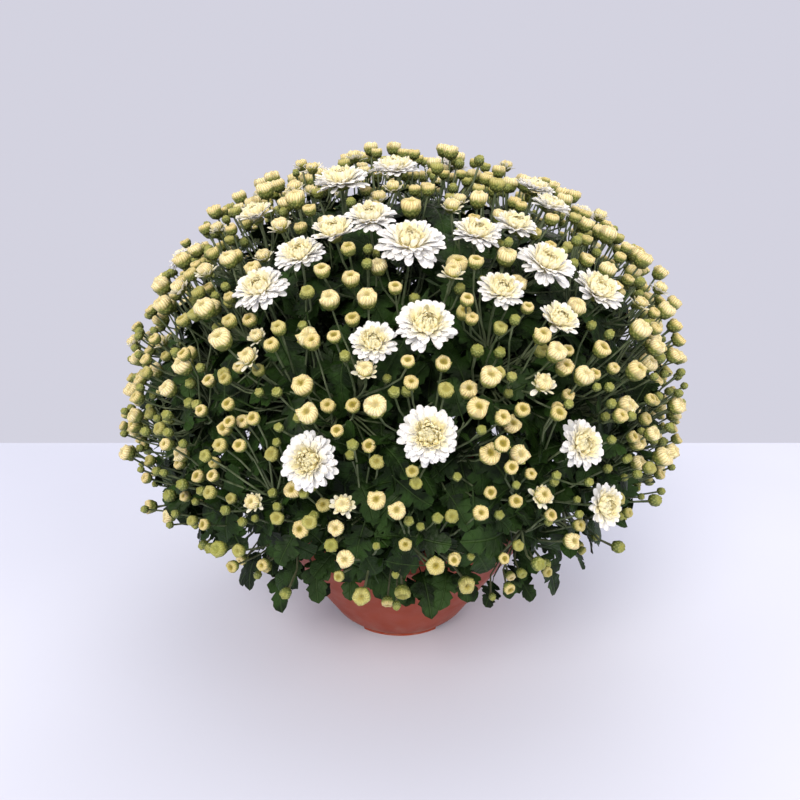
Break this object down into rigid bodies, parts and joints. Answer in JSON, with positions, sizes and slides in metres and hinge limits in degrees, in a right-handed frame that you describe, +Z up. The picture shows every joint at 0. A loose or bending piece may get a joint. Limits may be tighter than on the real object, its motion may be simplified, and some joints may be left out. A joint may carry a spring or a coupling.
{
  "type": "pot chrysanthemum",
  "caption": "Low round bush of small white and cream flower heads on leafy stems, growing from soil in a shallow slanted pot that rests on its flat base.",
  "frame": {"origin": "centre of the pot's flat base, on the surface that it stands on", "axes": "+Z up along the pot's axis; -Y towards the side that the picture shows; +X to the right in the picture"},
  "size_m": [0.4966, 0.5048, 0.447],
  "materials": {
    "terracotta_plastic": "satin moulded plastic, terracotta colour",
    "potting_soil": "rough dark potting soil",
    "leaf_green": "dull green leaves and stems",
    "petal_white": "soft white petals with cream middles"
  },
  "bodies": {
    "root": {"pot": "terracotta_plastic", "soil": "potting_soil", "leafy_stem_01": "leaf_green", "leafy_stem_02": "leaf_green", "leafy_stem_03": "leaf_green", "leafy_stem_04": "leaf_green", "leafy_stem_05": "leaf_green", "leafy_stem_06": "leaf_green", "leafy_stem_07": "leaf_green", "leafy_stem_08": "leaf_green", "leafy_stem_09": "leaf_green", "leafy_stem_10": "leaf_green", "leafy_stem_11": "leaf_green", "leafy_stem_12": "leaf_green", "leafy_stem_13": "leaf_green", "leafy_stem_14": "leaf_green", "leafy_stem_15": "leaf_green", "leafy_stem_16": "leaf_green", "leafy_stem_17": "leaf_green", "leafy_stem_18": "leaf_green", "leafy_stem_19": "leaf_green", "leafy_stem_20": "leaf_green", "bloom_01": "petal_white", "bloom_02": "petal_white", "bloom_03": "petal_white", "bloom_04": "petal_white", "bloom_05": "petal_white", "bloom_06": "petal_white", "bloom_07": "petal_white", "bloom_08": "petal_white", "bloom_09": "petal_white", "bloom_10": "petal_white", "bloom_11": "petal_white", "bloom_12": "petal_white", "bloom_13": "petal_white", "bloom_14": "petal_white", "bloom_15": "petal_white", "bloom_16": "petal_white", "bloom_17": "petal_white", "bloom_18": "petal_white", "bloom_19": "petal_white", "bloom_20": "petal_white", "bloom_21": "petal_white", "bloom_22": "petal_white", "bloom_23": "petal_white", "bloom_24": "petal_white", "bloom_25": "petal_white", "bloom_26": "petal_white", "bloom_27": "petal_white", "bloom_28": "petal_white", "bloom_29": "petal_white", "bloom_30": "petal_white", "bloom_31": "petal_white", "bloom_32": "petal_white", "bloom_33": "petal_white", "bloom_34": "petal_white"}
  },
  "joints": []
}
